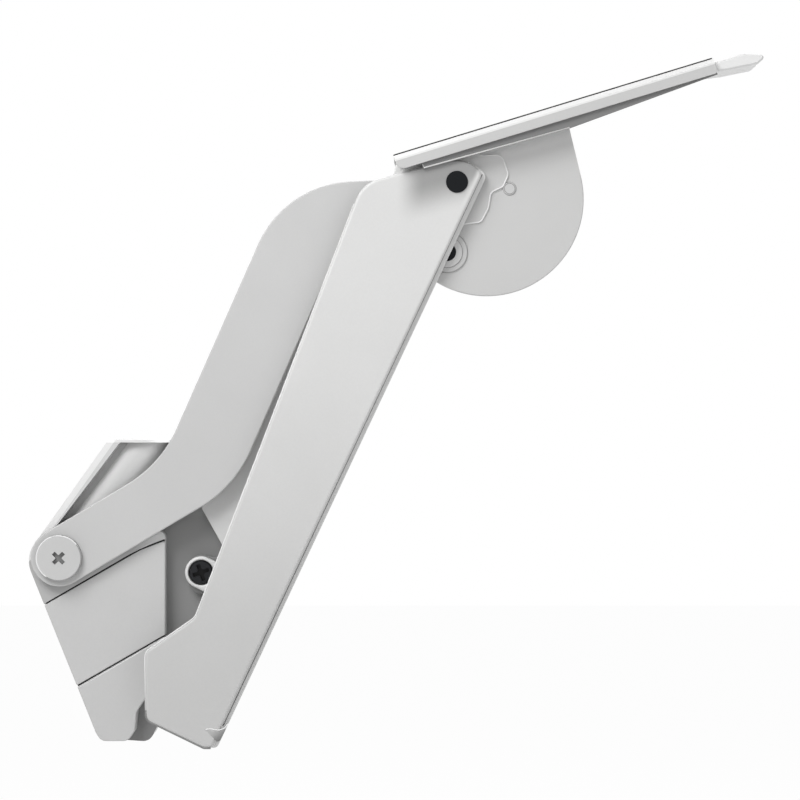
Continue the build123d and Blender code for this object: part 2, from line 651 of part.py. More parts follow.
COVER_WALL = 1.5
cap_side = [
    (ARM_OUTLINE[4][0] - LIP_W, ARM_OUTLINE[4][1] + 0.6),
    (ARM_OUTLINE[5][0] - LIP_W, ARM_OUTLINE[5][1] + 0.4),
]
CAP_OUTLINE = ARM_OUTLINE[:4] + cap_side + [ARM_OUTLINE[6]]
with BuildPart() as arm_cover:
    with BuildSketch(layer(COVER_BACK + SEAT_GAP)):
        with BuildLine():
            FilletPolyline(*CAP_OUTLINE, radius=ARM_R, close=True)
        make_face()
    extrude(amount=COVER_FRONT - COVER_BACK - SEAT_GAP)
    fillet(arm_cover.faces().sort_by(Axis.Y)[0].edges(), radius=1.1)
    with BuildSketch(layer(COVER_BACK + SEAT_GAP)):
        with BuildLine():
            FilletPolyline(*CAP_OUTLINE, radius=ARM_R, close=True)
        make_face()
        offset(amount=-COVER_WALL)
        with Locations(BRACKET_PIVOT):
            Circle(UPPER_PIN_HEAD_R + 1.5, mode=Mode.SUBTRACT)
    extrude(amount=COVER_FRONT - COVER_BACK - COVER_WALL, mode=Mode.SUBTRACT)
    with BuildSketch(layer(COVER_BACK)):
        with Locations(BRACKET_PIVOT):
            Circle(UPPER_PIN_R + SEAT_GAP)
    extrude(amount=COVER_FRONT - COVER_BACK + 1.0, mode=Mode.SUBTRACT)
    with BuildSketch(layer(COVER_FRONT)):
        with Locations(Location((8.3, -59.6, 0), (0, 0, -52))):
            Ellipse(4.6, 1.9)
    extrude(amount=-1.0, mode=Mode.SUBTRACT)
save(arm_cover, "arm_cover")

# Flap bracket: ear plate, latch plate, rivet and the guide pin with its washers
EAR_TOP = BRACKET_PLATE_T
EAR_START = 6.0
EAR_END = 66.5
with BuildPart() as ear_plate:
    with BuildSketch(layer(EAR_BACK)):
        with Locations(EAR_CENTRE):
            Circle(EAR_R)
        with BuildLine():
            Polyline(on_bracket(EAR_START, EAR_TOP), on_bracket(EAR_END, EAR_TOP),
                     (EAR_CENTRE[0] + EAR_R * 0.966, EAR_CENTRE[1] + EAR_R * 0.259),
                     EAR_CENTRE, (EAR_CENTRE[0] - EAR_R * 0.99, EAR_CENTRE[1] + 3.0), close=True)
        make_face()
        with BuildLine():
            Polyline(on_bracket(-EAR_R, EAR_TOP), on_bracket(2 * EAR_R, EAR_TOP),
                     on_bracket(2 * EAR_R, -EAR_R), on_bracket(-EAR_R, -EAR_R), close=True)
        make_face(mode=Mode.SUBTRACT)
        with Locations(BRACKET_PIVOT):
            Circle(UPPER_PIN_R + RUN_GAP, mode=Mode.SUBTRACT)
        with Locations(GUIDE_PIN_AT):
            Circle(GUIDE_PIN_R + SEAT_GAP, mode=Mode.SUBTRACT)
    extrude(amount=EAR_T)
    rim = ear_plate.faces().sort_by(Axis.Y)[0].outer_wire().edges().filter_by(GeomType.CIRCLE)
    chamfer(rim, length=0.3)
save(ear_plate, "ear_plate")

LATCH_OUTLINE = [
    (100.0, 157.6), (106.2, 156.2), (113.0, 156.6), (115.4, 149.2), (113.4, 144.6),
    (108.9, 142.6), (107.9, 136.6), (105.2, 131.4), (98.0, 130.6), (87.0, 135.0), (85.0, 150.0),
]
LATCH_R = [1.0, 3.0, 3.2, 3.0, 1.6, 2.4, 3.0, 2.4, 4.0, 5.0, 3.0]
with BuildPart() as latch_plate:
    with BuildSketch(layer(EAR_FRONT)):
        with BuildLine():
            FilletPolyline(*LATCH_OUTLINE, radius=LATCH_R, close=True)
        make_face()
        with Locations(BRACKET_PIVOT):
            Circle(UPPER_PIN_R + RUN_GAP, mode=Mode.SUBTRACT)
    extrude(amount=LATCH_T)
save(latch_plate, "latch_plate")

EAR_RIVET_AT = (115.9, 143.9)
EAR_RIVET_R = 2.4
EAR_RIVET_T = 0.5
with BuildPart() as ear_rivet:
    with BuildSketch(layer(EAR_FRONT)):
        with Locations(EAR_RIVET_AT):
            Circle(EAR_RIVET_R)
    extrude(amount=EAR_RIVET_T)
    chamfer(ear_rivet.faces().sort_by(Axis.Y)[0].edges(), length=0.2)
save(ear_rivet, "ear_rivet")

GUIDE_HEAD_FRONT = TRAY_BACK - LAY_GAP
with BuildPart() as guide_pin:
    with BuildSketch(layer(LINK_BACK - LAY_GAP - GUIDE_PIN_FLANGE_T)):
        with Locations(GUIDE_PIN_AT):
            Circle(GUIDE_PIN_FLANGE_R)
    extrude(amount=GUIDE_PIN_FLANGE_T)
    with BuildSketch(layer(LINK_BACK - LAY_GAP)):
        with Locations(GUIDE_PIN_AT):
            Circle(GUIDE_PIN_R)
    extrude(amount=EAR_FRONT - LINK_BACK + LAY_GAP)
    with BuildSketch(layer(EAR_FRONT)):
        with Locations(GUIDE_PIN_AT):
            Circle(GUIDE_PIN_HEAD_R)
    extrude(amount=GUIDE_HEAD_FRONT - EAR_FRONT)
    chamfer(guide_pin.faces().sort_by(Axis.Y)[0].edges(), length=0.2)
save(guide_pin, "guide_pin")
WASHER_STEP = EAR_FRONT + GUIDE_WASHER_T[0]
ring("guide_washer_wide", GUIDE_PIN_AT, GUIDE_PIN_HEAD_R + SEAT_GAP, GUIDE_WASHER_R[0],
     EAR_FRONT, WASHER_STEP)
ring("guide_washer_small", GUIDE_PIN_AT, GUIDE_PIN_HEAD_R + SEAT_GAP, GUIDE_WASHER_R[1],
     WASHER_STEP, WASHER_STEP + GUIDE_WASHER_T[1])


# Flap bracket channel, cover strip and tongue, on planes along the mounting face
def face_plane(below):
    """A plane parallel to the mounting face; local X runs along it and local Y is +Y."""
    start = on_bracket(0.0, below)
    return Plane(origin=(start[0], 0, start[1]),
                 x_dir=(cos(radians(BRACKET_TILT)), 0, sin(radians(BRACKET_TILT))),
                 z_dir=(-sin(radians(BRACKET_TILT)), 0, cos(radians(BRACKET_TILT))))


COVER_STRIP_T = 1.2
CHANNEL_FRONT = BRACKET_FRONT - COVER_STRIP_T
TAPER_START = 72.0
FLANGE_START = 9.2
FLANGE_DEEPEST = 65.4
FAR_FLANGE_L = 56.0
HOLE_DEPTH = 20.0
FLAP_HOLE_R = 2.3
FLAP_HOLES = (18.0, 82.0)
CHANNEL_PLAN = [
    (0.4, -CHANNEL_FRONT), (BRACKET_L, -CHANNEL_FRONT),
    (BRACKET_L, -CHANNEL_FRONT + BRACKET_TIP_W), (TAPER_START, -BRACKET_BACK),
    (0.4, -BRACKET_BACK),
]
with BuildPart() as bracket_channel:
    with BuildSketch(face_plane(0)):
        with BuildLine():
            FilletPolyline(*CHANNEL_PLAN, radius=[0, 1.0, 3.0, 8.0, 2.0], close=True)
        make_face()
        with Locations(*[(along, -HOLE_DEPTH) for along in FLAP_HOLES]):
            Circle(FLAP_HOLE_R, mode=Mode.SUBTRACT)
    extrude(amount=-BRACKET_PLATE_T)
    with BuildSketch(face_plane(BRACKET_PLATE_T)):
        with Locations((FLANGE_START + FAR_FLANGE_L / 2, -BRACKET_BACK - BRACKET_WALL_T / 2)):
            Rectangle(FAR_FLANGE_L, BRACKET_WALL_T)
    extrude(amount=-(BRACKET_WALL_H + 0.8 - BRACKET_PLATE_T))
    with BuildSketch(layer(CHANNEL_FRONT - BRACKET_WALL_T)):
        with BuildLine():
            Polyline(on_bracket(FLANGE_START, BRACKET_PLATE_T), on_bracket(FLANGE_START, 8.2),
                     on_bracket(FLANGE_DEEPEST, 9.7), on_bracket(BRACKET_L, 6.5),
                     on_bracket(BRACKET_L, BRACKET_PLATE_T), close=True)
        make_face()
    extrude(amount=BRACKET_WALL_T)
save(bracket_channel, "bracket_channel")

STRIP_DROP = 0.4
STRIP_BEVEL = (0.9, 1.6)
strip_section = Plane(
    origin=(BRACKET_START[0], 0, BRACKET_START[1]), x_dir=(0, 1, 0),
    z_dir=(cos(radians(BRACKET_TILT)), 0, sin(radians(BRACKET_TILT))))
with BuildPart() as bracket_cover:
    with BuildSketch(strip_section):
        with BuildLine():
            Polyline(
                (-CHANNEL_FRONT - SEAT_GAP, -STRIP_DROP),
                (-BRACKET_FRONT + STRIP_BEVEL[0], -STRIP_DROP),
                (-BRACKET_FRONT, -STRIP_DROP - STRIP_BEVEL[1]),
                (-BRACKET_FRONT, -BRACKET_WALL_H), (-CHANNEL_FRONT - SEAT_GAP, -BRACKET_WALL_H),
                close=True)
        make_face()
    extrude(amount=BRACKET_L)
    ends = bracket_cover.edges().filter_by(Axis.Y).sort_by(Axis.Z)
    fillet(ends[0], radius=3.4)
    fillet(bracket_cover.edges().filter_by(Axis.Y).sort_by(Axis.X)[-1], radius=1.0)
save(bracket_cover, "bracket_cover")

TONGUE_ROOT = BRACKET_L - 11.5
TONGUE_NECK = BRACKET_L + LAY_GAP
TONGUE_BACK = 18.0
TONGUE_FRONT = CHANNEL_FRONT - BRACKET_WALL_T - SEAT_GAP
TONGUE_TOP = BRACKET_PLATE_T + SEAT_GAP
TONGUE_SIDE = [
    on_bracket(TONGUE_ROOT, TONGUE_TOP), on_bracket(TONGUE_NECK + 11.0, TONGUE_TOP),
    on_bracket(TONGUE_NECK + 19.8, 5.0), on_bracket(TONGUE_NECK + 15.2, 7.0),
    on_bracket(TONGUE_NECK + 3.8, 5.9), on_bracket(TONGUE_ROOT, TONGUE_TOP + 1.6),
]
with BuildPart() as bracket_tongue:
    with BuildSketch(layer(TONGUE_BACK)):
        with BuildLine():
            FilletPolyline(*TONGUE_SIDE, radius=[0, 4.0, 1.0, 1.0, 4.0, 0], close=True)
        make_face()
    extrude(amount=TONGUE_FRONT - TONGUE_BACK)
    chamfer(bracket_tongue.faces().sort_by(Axis.Y)[0].edges().sort_by(Axis.X)[-2:], length=0.6)
save(bracket_tongue, "bracket_tongue")


ADJUSTER_DEPTH = 14.0
ADJUSTER_NECK_R = 2.0
ADJUSTER_HEAD_R = 4.0


def adjuster(label, along):
    """An adjusting screw with a broad head, under the bracket plate."""
    with BuildPart() as built:
        with BuildSketch(face_plane(BRACKET_PLATE_T)):
            with Locations((along, -ADJUSTER_DEPTH)):
                Circle(ADJUSTER_NECK_R)
        extrude(amount=-1.6)
        with BuildSketch(face_plane(BRACKET_PLATE_T + 1.6)):
            with Locations((along, -ADJUSTER_DEPTH)):
                Circle(ADJUSTER_HEAD_R)
        extrude(amount=-2.4)
        with BuildSketch(face_plane(BRACKET_PLATE_T + 4.0)):
            with Locations((along, -ADJUSTER_DEPTH)):
                cross_recess(4.6, 1.2)
        extrude(amount=1.2, mode=Mode.SUBTRACT)
    save(built, label)


adjuster("side_adjuster", 34.0)
adjuster("height_adjuster", 58.0)
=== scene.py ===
"""Lift-up flap fitting, dressed for a picture in a white studio.

Metres and +Z up, in the CAD frame. The photo looks along +Y, so a front-view point is (X, Z) in
millimetres, and a depth is the distance in front of the mounting plane, along -Y.
"""
from math import cos, pi, radians, sin

import bmesh
import bpy
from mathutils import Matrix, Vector
from mathutils.geometry import tessellate_polygon


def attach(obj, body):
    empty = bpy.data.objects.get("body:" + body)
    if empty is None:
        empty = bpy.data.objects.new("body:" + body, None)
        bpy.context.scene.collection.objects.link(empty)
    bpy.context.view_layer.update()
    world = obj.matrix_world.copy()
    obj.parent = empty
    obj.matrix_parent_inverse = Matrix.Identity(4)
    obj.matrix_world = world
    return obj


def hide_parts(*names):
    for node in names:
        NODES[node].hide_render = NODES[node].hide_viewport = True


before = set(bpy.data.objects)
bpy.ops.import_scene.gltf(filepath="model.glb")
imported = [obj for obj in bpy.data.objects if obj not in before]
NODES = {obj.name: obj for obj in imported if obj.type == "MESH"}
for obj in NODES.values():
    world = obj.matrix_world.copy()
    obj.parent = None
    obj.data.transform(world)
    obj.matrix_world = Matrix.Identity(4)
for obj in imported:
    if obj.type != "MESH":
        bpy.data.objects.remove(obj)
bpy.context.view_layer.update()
MM = 0.001

# Camera, at the photograph's place
CAMERA_PLACE = (0.075, -0.836, 0.065)
LENS_MM = 97.2
SENSOR_MM = 36.0
camera_data = bpy.data.cameras.new("camera")
camera_data.lens = LENS_MM
camera_data.sensor_width = SENSOR_MM
camera_data.clip_start = 0.01
camera = bpy.data.objects.new("camera", camera_data)
camera.location = CAMERA_PLACE
camera.rotation_euler = (pi / 2, 0, 0)
bpy.context.scene.collection.objects.link(camera)
bpy.context.scene.camera = camera
bpy.context.scene.view_settings.view_transform = "Standard"


# Light
def area_light(name, place, aim, side, watts):
    """A square white lamp at a place, turned to its aim."""
    data = bpy.data.lights.new(name, "AREA")
    data.shape = "RECTANGLE"
    data.size = data.size_y = side
    data.energy = watts
    lamp = bpy.data.objects.new(name, data)
    lamp.location = place
    lamp.rotation_euler = (Vector(aim) - Vector(place)).to_track_quat("-Z", "Y").to_euler()
    bpy.context.scene.collection.objects.link(lamp)


area_light("key", place=(-0.30, -0.52, 0.60), aim=(0.06, 0.0, 0.10), side=0.40, watts=4.5)
area_light("fill", place=(0.75, -0.9, 0.25), aim=(0.05, 0.0, 0.05), side=0.8, watts=1.6)
area_light("back", place=(0.2, 0.9, 0.7), aim=(0.05, 0.0, 0.05), side=0.9, watts=6.0)


# Background: even white for rays that see it, and a dim white light on the fitting
AMBIENT = 0.36
SEEN_WHITE = 1.0
FLOOR_COLOUR = (0.9, 0.9, 0.9, 1)
FLOOR_GLOW = 0.97
FLOOR_Z = -0.3
FLOOR_HALF = 3


def math_node(nodes, links, operation, first, second):
    """The result of a math node; second is a socket or a number."""
    node = nodes.new("ShaderNodeMath")
    node.operation = operation
    links.new(first, node.inputs[0])
    if isinstance(second, float):
        node.inputs[1].default_value = second
    else:
        links.new(second, node.inputs[1])
    return node.outputs[0]


def mixed(nodes, links, factor, first, second, output):
    """Mixes two shaders by a factor and leads them to a new output node."""
    mix = nodes.new("ShaderNodeMixShader")
    links.new(factor, mix.inputs[0])
    links.new(first.outputs[0], mix.inputs[1])
    links.new(second.outputs[0], mix.inputs[2])
    links.new(mix.outputs[0], nodes.new(output).inputs[0])


def seen_factor(nodes, links):
    """1 for rays that see the background directly, in a mirror or through glass."""
    rays = nodes.new("ShaderNodeLightPath").outputs
    seen = math_node(nodes, links, "MAXIMUM", rays["Is Camera Ray"], rays["Is Glossy Ray"])
    return math_node(nodes, links, "MAXIMUM", seen, rays["Is Transmission Ray"])


def background(nodes, strength):
    """A white background shader."""
    shader = nodes.new("ShaderNodeBackground")
    shader.inputs["Color"].default_value = (1, 1, 1, 1)
    shader.inputs["Strength"].default_value = strength
    return shader


world = bpy.data.worlds.new("studio")
world.use_nodes = True
bpy.context.scene.world = world
world_nodes, world_links = world.node_tree.nodes, world.node_tree.links
world_nodes.clear()
mixed(world_nodes, world_links, seen_factor(world_nodes, world_links),
      background(world_nodes, AMBIENT), background(world_nodes, SEEN_WHITE),
      "ShaderNodeOutputWorld")


# Floor, under the fitting
def floor_material():
    """A pale matt floor that looks white wherever the background would."""
    m = bpy.data.materials.new("studio_floor")
    m.use_nodes = True
    nodes, links = m.node_tree.nodes, m.node_tree.links
    nodes.clear()
    matt = nodes.new("ShaderNodeBsdfDiffuse")
    matt.inputs["Color"].default_value = FLOOR_COLOUR
    glow = nodes.new("ShaderNodeEmission")
    glow.inputs["Strength"].default_value = 1.0
    share = math_node(nodes, links, "MULTIPLY", seen_factor(nodes, links), FLOOR_GLOW)
    mixed(nodes, links, share, matt, glow, "ShaderNodeOutputMaterial")
    return m


def mesh_object(name, verts, faces, material, smooth=False):
    """A new object with one material and its faces turned outwards."""
    mesh = bpy.data.meshes.new(name)
    mesh.from_pydata([tuple(v) for v in verts], [], faces)
    mesh.update()
    bm = bmesh.new()
    bm.from_mesh(mesh)
    bmesh.ops.recalc_face_normals(bm, faces=bm.faces)
    bm.to_mesh(mesh)
    bm.free()
    for face in mesh.polygons:
        face.use_smooth = smooth
    mesh.materials.append(material)
    o = bpy.data.objects.new(name, mesh)
    bpy.context.scene.collection.objects.link(o)
    return o


floor = mesh_object("floor",
                    [(x * FLOOR_HALF, y * FLOOR_HALF, FLOOR_Z)
                     for x, y in ((-1, -1), (1, -1), (1, 1), (-1, 1))],
                    [(0, 1, 2, 3)], floor_material())


# Materials
BROAD_SCALE = 28.0
FINE_SHARE = 0.35
NOISE_SPAN = (0.3, 0.7)
BUMP_STRENGTH = 0.5


def material(name, colour, rough=0.5, metal=0.0, grain=1400.0, depth=0.012, vary=0.03,
             rough_vary=0.06, stretch=(1, 1, 1), gleam=0.5, painted_light_zones=()):
    """A procedural finish: broad and fine colour change, uneven gloss and a fine surface grain.

    Each zone (share, steps) paints light or shade: it scales the colour by share where all its
    steps are past their end; a step is (direction, start, end), in millimetres along the direction.
    """
    m = bpy.data.materials.new(name)
    m.use_nodes = True
    nodes, links = m.node_tree.nodes, m.node_tree.links
    shader = nodes["Principled BSDF"]
    shader.inputs["Metallic"].default_value = metal
    shader.inputs["Specular IOR Level"].default_value = gleam
    place = nodes.new("ShaderNodeTexCoord").outputs["Object"]
    fit = nodes.new("ShaderNodeMapping")
    fit.inputs["Scale"].default_value = stretch
    links.new(place, fit.inputs["Vector"])
    broad = nodes.new("ShaderNodeTexNoise")
    broad.inputs["Scale"].default_value = BROAD_SCALE
    broad.inputs["Detail"].default_value = 3.0
    links.new(place, broad.inputs["Vector"])
    fine = nodes.new("ShaderNodeTexNoise")
    fine.inputs["Scale"].default_value = grain
    fine.inputs["Detail"].default_value = 2.0
    links.new(fit.outputs["Vector"], fine.inputs["Vector"])
    blend = nodes.new("ShaderNodeMix")
    blend.inputs[0].default_value = FINE_SHARE
    links.new(broad.outputs["Fac"], blend.inputs[2])
    links.new(fine.outputs["Fac"], blend.inputs[3])
    ramp = nodes.new("ShaderNodeValToRGB")
    low, high = ramp.color_ramp.elements
    low.position, high.position = NOISE_SPAN
    low.color = (*[c * (1 - vary) for c in colour], 1)
    high.color = (*[min(c * (1 + vary), 1.0) for c in colour], 1)
    links.new(blend.outputs[0], ramp.inputs["Fac"])
    tint = ramp.outputs["Color"]
    for share, steps in painted_light_zones:
        inside = None
        for direction, start, end in steps:
            along = nodes.new("ShaderNodeVectorMath")
            along.operation = "DOT_PRODUCT"
            along.inputs[1].default_value = direction
            links.new(place, along.inputs[0])
            part = nodes.new("ShaderNodeMapRange")
            part.interpolation_type = "SMOOTHSTEP"
            part.inputs["From Min"].default_value = start * MM
            part.inputs["From Max"].default_value = end * MM
            links.new(along.outputs["Value"], part.inputs["Value"])
            result = part.outputs["Result"]
            if inside is None:
                inside = result
            else:
                inside = math_node(nodes, links, "MULTIPLY", inside, result)
        step = nodes.new("ShaderNodeMapRange")
        step.inputs["To Min"].default_value = 1.0
        step.inputs["To Max"].default_value = share
        links.new(inside, step.inputs["Value"])
        scaled = nodes.new("ShaderNodeVectorMath")
        scaled.operation = "SCALE"
        links.new(tint, scaled.inputs[0])
        links.new(step.outputs["Result"], scaled.inputs["Scale"])
        tint = scaled.outputs["Vector"]
    links.new(tint, shader.inputs["Base Color"])
    gloss = nodes.new("ShaderNodeMapRange")
    gloss.inputs["To Min"].default_value = rough - rough_vary
    gloss.inputs["To Max"].default_value = rough + rough_vary
    links.new(fine.outputs["Fac"], gloss.inputs["Value"])
    links.new(gloss.outputs["Result"], shader.inputs["Roughness"])
    bump = nodes.new("ShaderNodeBump")
    bump.inputs["Strength"].default_value = BUMP_STRENGTH
    bump.inputs["Distance"].default_value = depth * MM
    links.new(fine.outputs["Fac"], bump.inputs["Height"])
    links.new(bump.outputs["Normal"], shader.inputs["Normal"])
    return m


# Directions, and how far along them the surfaces lie that get painted light or shade
BACK, FRONT = (0, 1, 0), (0, -1, 0)
RIGHT, HIGH, LOW = (1, 0, 0), (0, 0, 1), (0, 0, -1)
TILT = radians(16.93)  # The bracket's rise
BRACKET_CORNER = (72.4, 155.7)  # The left end of its upper face
UP = (-sin(TILT), 0, cos(TILT))
FACE = UP[0] * BRACKET_CORNER[0] + UP[2] * BRACKET_CORNER[1]
WALL = (-0.815, 0, 0.579)  # Out of the housing's slanted wall
PAST_WALL = (0.815, 0, -0.579)
SEAM_UP = (-0.5009, 0, 0.8655)  # Square to the housing's upper seam
COVER_TIP = (105.7, 149.2)  # The upper end of the arm cover's right edge
TOWARDS = (-0.9056, 0, 0.4242)  # From that edge into the cover
LIP_LINE = TOWARDS[0] * COVER_TIP[0] + TOWARDS[2] * COVER_TIP[1]

POCKET_FLOOR = (BACK, -20.5, -16.6)
OFF_THE_SIDES = (FRONT, 15.4, 16.0)
RIM_FRONT = (FRONT, 22.0, 23.0)
MOULDED = material("moulded_light_grey", (0.60, 0.60, 0.598), rough=0.46)
SHELL = material("shell_light_grey", (0.66, 0.66, 0.658), rough=0.48, painted_light_zones=[
    # Painted shade on the pocket floor, at its right and on its lower part
    (0.44, [POCKET_FLOOR, OFF_THE_SIDES, (RIGHT, -16.5, -14.2)]),
    (0.35, [POCKET_FLOOR, OFF_THE_SIDES, (LOW, 44, 46)]),
    # Painted highlights on the slanted wall's rim and on the rim's top end
    (1.28, [(WALL, 54.9, 55.2), RIM_FRONT]),
    (1.25, [(HIGH, 48.9, 49.1), RIM_FRONT]),
    # Painted light on the pocket's right side, where the link's shadow falls
    (1.40, [(PAST_WALL, -46, -40), (HIGH, 20, 24)]),
    # A painted shadow of the link on the block's front, above the upper seam and below the bolt
    (0.72, [(SEAM_UP, 19.2, 19.4), (FRONT, 20.6, 21.0), (PAST_WALL, -55.2, -54.9),
            (LOW, -14, -8)])])
COVER = material("cover_light_grey", (0.74, 0.74, 0.735), rough=0.40, painted_light_zones=[
    # Painted shade, darker towards the bottom
    (0.80, [(HIGH, 110, -60)]),
    # A painted shadow under the bracket near the pin, kept off the lip at the right edge
    (0.45, [(UP, FACE - 27, FACE - 13), (RIGHT, 73, 84),
            (TOWARDS, LIP_LINE + 0.9, LIP_LINE + 3.0)])])
# The tray's lip: a lighter copy of the cover's grey, painted light that lifts it out of the cover's
# shade
TRAY = material("tray_lip_painted_light", (0.78, 0.78, 0.775), rough=0.42)
STRIP = material("strip_light_grey", (0.86, 0.86, 0.855), rough=0.42, painted_light_zones=[
    # The top band, the lit bevel, keeps the full colour as a painted highlight; below it the strip
    # is darker
    (0.70, [(UP, FACE - 2.5, FACE - 2.8)])])
LINK = material("link_powder_coat", (0.60, 0.60, 0.598), grain=2200.0)
LEVER = material("lever_powder_coat", (0.74, 0.74, 0.737), grain=2200.0, painted_light_zones=[
    # Painted shade on the lever's part below 8.6 mm, down in the recess round the pivot
    (0.32, [(LOW, -9.8, -8.6)])])
EAR = material("ear_powder_coat", (0.61, 0.61, 0.606), grain=2200.0, painted_light_zones=[
    # Painted light near the bracket, lifting the bracket's shadow on the ear
    (1.40, [(UP, FACE - 20, FACE - 9)])])
CHANNEL = material("channel_powder_coat", (0.58, 0.58, 0.577), grain=2200.0, painted_light_zones=[
    # Painted shade: a dark band on the near flange below the strip
    (0.36, [(UP, FACE - 5.6, FACE - 6.0), (FRONT, 35.9, 36.3)])])
LUG = material("lug_white_coat", (0.78, 0.78, 0.776), rough=0.4)
TONGUE = material("tongue_pale_plastic", (0.84, 0.84, 0.838), rough=0.4)
BOLT = material("bolt_grey_plate", (0.60, 0.60, 0.598), rough=0.42, metal=0.1, grain=3000.0,
                # Painted shade in the recess behind the bolt's face
                painted_light_zones=[(0.40, [(BACK, -28.95, -28.6)])])
ZINC = material("zinc_plate", (0.62, 0.63, 0.65), rough=0.34, metal=0.85, grain=1800.0,
                stretch=(1, 1, 6))
SPRING = material("spring_steel", (0.34, 0.345, 0.36), rough=0.32, metal=0.9)
BARREL = material("spring_barrel_grey", (0.40, 0.405, 0.415), rough=0.4, metal=0.3)
BLACK = material("black_oxide", (0.008, 0.009, 0.0105), vary=0.15, gleam=0.12)
SCREW = material("black_screw", (0.017, 0.018, 0.020), rough=0.45, vary=0.15, gleam=0.2,
                 # Painted shade in the screw's recess
                 painted_light_zones=[(0.15, [(BACK, -22.35, -22.1)])])
# Painted shade along edges, rims and grooves
EDGE_SHADE = material("painted_edge_shade", (0.30, 0.30, 0.30), rough=0.4)
# Painted shade in the crevice beside the spring's barrel
CREVICE_SHADE = material("crevice_painted_shade", (0.42, 0.42, 0.418), rough=0.6)
SHADED = material("shaded_edge", (0.24, 0.24, 0.238))
SEAM = material("seam_shadow", (0.03, 0.03, 0.03), rough=0.8, gleam=0.1)
# Painted shade in the thumb notch, darker towards its lower end
NOTCH = material("notch_shade", (0.50, 0.50, 0.497), painted_light_zones=[(0.40, [((0.6, 0, -0.8), 49.0, 54.0)])])
# Painted highlights along lit edges
PAINTED_HIGHLIGHT = material("painted_highlight_edge", (0.90, 0.90, 0.90), rough=0.3)

FINISH = {
    "base_plate": ZINC, "housing_shell": SHELL, "housing_cover": MOULDED, "lower_foot": MOULDED,
    "spring_tube": BARREL, "spring_seat": ZINC, "lift_spring": SPRING, "link_pivot_post": ZINC,
    "link_pivot_bolt": BOLT, "main_pivot_post": ZINC, "main_pivot_screw": SCREW,
    "main_pivot_spacer": ZINC, "spring_piston": ZINC, "cam_nose": ZINC, "guide_link": LINK,
    "link_hub": ZINC, "link_cam": ZINC, "lift_lever": LEVER, "pivot_collar": LUG,
    "upper_pivot_pin": BLACK, "upper_pin_spacer": ZINC, "upper_pin_washer": ZINC,
    "arm_tray": COVER, "arm_cover": COVER, "ear_plate": EAR, "latch_plate": EAR,
    "ear_rivet": BOLT, "guide_pin": BLACK, "guide_washer_wide": EAR, "guide_washer_small": BOLT,
    "bracket_channel": CHANNEL, "bracket_cover": STRIP, "bracket_tongue": TONGUE,
    "side_adjuster": ZINC, "height_adjuster": ZINC,
}
for name, finish in FINISH.items():
    part = NODES[name]
    part.data.materials.clear()
    part.data.materials.append(finish)


# Shapes in mesh code, from front-view outlines
def piece(name, verts, faces, finish, body):
    """A smooth mesh piece that rides on a body."""
    o = mesh_object(name, verts, faces, finish, smooth=True)
    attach(o, body)
    return o


def stitch(faces, a, b, count):
    """Faces between two closed rings of count points, which start at a and at b."""
    for i in range(count):
        j = (i + 1) % count
        faces.append((a + i, a + j, b + j, b + i))


def rounded_front(front, edge, steps):
    """Depth and inset of the rings of a rounded front edge, from the side to the face."""
    turns = [pi / 2 * k / steps for k in range(steps + 1)]
    return [(front - edge * (1 - sin(a)), edge * (1 - cos(a))) for a in turns]


def sweep(name, path, depth, half_width, height, finish, body, closed=False, sides=8):
    """A thin rounded bead that follows a path in the front view, at one depth."""
    count = len(path)
    verts, faces = [], []
    for i in range(count):
        before = path[(i - 1) % count] if closed or i else path[i]
        after = path[(i + 1) % count] if closed or i < count - 1 else path[i]
        dx, dz = after[0] - before[0], after[1] - before[1]
        size = (dx * dx + dz * dz) ** 0.5
        nx, nz = -dz / size, dx / size
        for k in range(sides):
            turn = 2 * pi * k / sides
            aside, out = half_width * cos(turn), height * sin(turn)
            verts.append(((path[i][0] + nx * aside) * MM, -(depth + out) * MM,
                          (path[i][1] + nz * aside) * MM))
    for i in range(count if closed else count - 1):
        stitch(faces, i * sides, (i + 1) % count * sides, sides)
    if not closed:
        faces.append(tuple(range(sides)))
        faces.append(tuple((count - 1) * sides + k for k in range(sides)))
    return piece(name, verts, faces, finish, body)


def circle(at, radius, start=0.0, end=360.0, count=72):
    """Points on a circle, or on its arc from start to end in degrees."""
    steps = count if end - start >= 360 else count + 1
    return [(at[0] + radius * cos(radians(start + (end - start) * i / count)),
             at[1] + radius * sin(radians(start + (end - start) * i / count)))
            for i in range(steps)]


def rounded(corners, radii, closed=True, steps=8):
    """A polyline with its corners rounded to the radii, as points."""
    points = []
    count = len(corners)
    for i, corner in enumerate(corners):
        r = radii[i]
        if r <= 0 or (not closed and i in (0, count - 1)):
            points.append(corner)
            continue
        here = Vector(corner)
        back = (Vector(corners[i - 1]) - here).normalized()
        ahead = (Vector(corners[(i + 1) % count]) - here).normalized()
        half = back.angle(ahead) / 2
        reach = r / max(abs(sin(half) / cos(half)), 1e-6)
        centre = here + (back + ahead).normalized() * (r / sin(half))
        first, final = here + back * reach - centre, here + ahead * reach - centre
        sweep_angle = first.angle_signed(final)
        for k in range(steps + 1):
            a = -sweep_angle * k / steps
            points.append((centre[0] + first[0] * cos(a) - first[1] * sin(a),
                           centre[1] + first[0] * sin(a) + first[1] * cos(a)))
    return points


